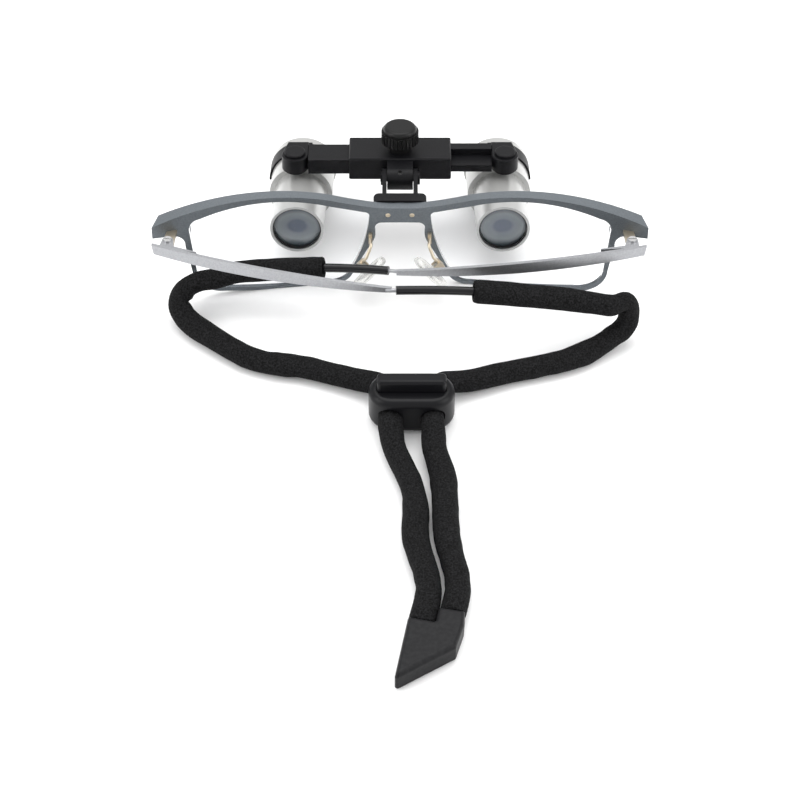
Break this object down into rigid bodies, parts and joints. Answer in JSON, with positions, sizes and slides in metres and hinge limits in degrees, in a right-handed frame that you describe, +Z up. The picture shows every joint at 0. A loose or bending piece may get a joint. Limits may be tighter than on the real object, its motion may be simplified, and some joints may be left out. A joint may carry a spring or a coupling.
{
  "type": "dental loupes",
  "caption": "Flip-up binocular loupes on a metal spectacle frame with folding temples, sliding geared barrel arms, nose pads and a knit retainer strap with a spring toggle.",
  "frame": {"origin": "on the resting surface, under the middle of the spectacles, loupes and folded temples (strap left out)", "axes": "+Z up, +Y the way the wearer looks, +X the wearer's right"},
  "size_m": [0.1384, 0.1939, 0.0354],
  "materials": {
    "front_grey": "satin gunmetal",
    "temple_silver": "satin",
    "hinge_brass": "satin, pale",
    "steel_screw": "bright",
    "carrier_black": "satin black anodised",
    "knob_black": "matt, ribbed",
    "barrel_pearl": "pearl satin",
    "lens_clear": "polished, clear",
    "optic_glass": "coated, polished",
    "inner_black": "matt",
    "pad_silicone": "translucent",
    "tip_black": "gloss",
    "strap_knit": "fine black knit",
    "tab_black": "smooth, satin",
    "toggle_plastic": "satin moulded",
    "spring_steel": "bright"
  },
  "bodies": {
    "front": {"front_frame": "front_grey", "lens_left": "lens_clear", "lens_right": "lens_clear", "hinge_plate_left": "hinge_brass", "hinge_plate_right": "hinge_brass", "hinge_screw_left": "steel_screw", "hinge_screw_right": "steel_screw", "nose_arm_left": "hinge_brass", "nose_arm_right": "hinge_brass", "pad_screw_left": "steel_screw", "pad_screw_right": "steel_screw", "mount_bracket": "carrier_black", "mount_screws": "hinge_brass", "flip_pin": "carrier_black", "flip_nut": "carrier_black", "strap_left": "strap_knit", "strap_right": "strap_knit", "toggle_body": "toggle_plastic", "toggle_spring": "spring_steel", "strap_end_tab": "tab_black"},
    "temple_left": {"temple_hinge_left": "temple_silver", "temple_left": "temple_silver", "temple_tip_left": "tip_black", "strap_sleeve_left": "strap_knit"},
    "temple_right": {"temple_hinge_right": "temple_silver", "temple_right": "temple_silver", "temple_tip_right": "tip_black", "strap_sleeve_right": "strap_knit"},
    "pad_left": {"nose_pad_left": "pad_silicone"},
    "pad_right": {"nose_pad_right": "pad_silicone"},
    "carrier": {"flip_knuckle": "carrier_black", "detent_screw": "steel_screw", "bar_housing": "carrier_black", "pinion_bush": "carrier_black"},
    "pd_drive": {"pinion_shaft": "steel_screw", "knob": "knob_black"},
    "arm_left": {"rack_arm_left": "carrier_black", "pivot_block_left": "carrier_black"},
    "arm_right": {"rack_arm_right": "carrier_black", "pivot_block_right": "carrier_black"},
    "barrel_left": {"pivot_pin_left": "carrier_black", "saddle_left": "carrier_black", "eyepiece_tube_left": "barrel_pearl", "objective_tube_left": "barrel_pearl", "front_bezel_left": "barrel_pearl", "eyepiece_lens_left": "optic_glass", "eyepiece_ring_left": "inner_black", "objective_lens_left": "optic_glass", "lens_spacer_left": "inner_black"},
    "barrel_right": {"pivot_pin_right": "carrier_black", "saddle_right": "carrier_black", "eyepiece_tube_right": "barrel_pearl", "objective_tube_right": "barrel_pearl", "front_bezel_right": "barrel_pearl", "eyepiece_lens_right": "optic_glass", "eyepiece_ring_right": "inner_black", "objective_lens_right": "optic_glass", "lens_spacer_right": "inner_black"},
    "toggle_press": {"toggle_button": "toggle_plastic"}
  },
  "joints": [
    {"name": "temple_left_fold", "type": "hinge", "parent": "front", "child": "temple_left", "pos_m": [-0.0645, -0.01979, 0.0256], "axis": [0, 0, -1], "range_deg": [0, 80], "deforming": ["strap_left", "strap_right", "strap_sleeve_left", "strap_sleeve_right"]},
    {"name": "temple_right_fold", "type": "hinge", "parent": "front", "child": "temple_right", "pos_m": [0.0645, -0.01979, 0.0256], "axis": [0, 0, 1], "range_deg": [0, 80], "deforming": ["strap_left", "strap_right", "strap_sleeve_left", "strap_sleeve_right"]},
    {"name": "nose_pad_left_rock", "type": "hinge", "parent": "front", "child": "pad_left", "pos_m": [-0.01045, -0.01325, 0.01177], "axis": [0.2367, 0.9511, -0.1986], "range_deg": [-8, 8]},
    {"name": "nose_pad_right_rock", "type": "hinge", "parent": "front", "child": "pad_right", "pos_m": [0.01045, -0.01325, 0.01177], "axis": [0.2367, -0.9511, 0.1986], "range_deg": [-8, 8]},
    {"name": "flip_up", "type": "hinge", "parent": "front", "child": "carrier", "pos_m": [0, 0.0117, 0.02395], "axis": [1, 0, 0], "range_deg": [0, 85]},
    {"name": "pd_knob", "type": "hinge", "parent": "carrier", "child": "pd_drive", "pos_m": [0, 0.02105, 0.02817], "axis": [0, -0.0958, -0.9954], "range_deg": [-86, 143.3]},
    {"name": "pd_slide_left", "type": "slide", "parent": "carrier", "child": "arm_left", "axis": [-1, 0, 0], "range_m": [-0.003, 0.005]},
    {"name": "pd_slide_right", "type": "slide", "parent": "carrier", "child": "arm_right", "axis": [1, 0, 0], "range_m": [-0.003, 0.005]},
    {"name": "barrel_toe_left", "type": "hinge", "parent": "arm_left", "child": "barrel_left", "pos_m": [-0.0304, 0.02012, 0.02374], "axis": [0, 0.0958, 0.9954], "range_deg": [-6, 6]},
    {"name": "barrel_toe_right", "type": "hinge", "parent": "arm_right", "child": "barrel_right", "pos_m": [0.0304, 0.02012, 0.02374], "axis": [0, 0.0958, 0.9954], "range_deg": [-6, 6]},
    {"name": "toggle_press", "type": "slide", "parent": "front", "child": "toggle_press", "axis": [0, 0, -1], "range_m": [0, 0.0015], "stiffness_N_per_m": 1200, "springref_m": -0.0005, "deforming": ["toggle_spring"]}
  ],
  "couplings": [
    {"joint": "temple_right_fold", "follows": "temple_left_fold", "ratio": 1},
    {"joint": "pd_knob", "follows": "pd_slide_left", "rad_per_m": 500},
    {"joint": "pd_slide_right", "follows": "pd_slide_left", "ratio": 1}
  ]
}
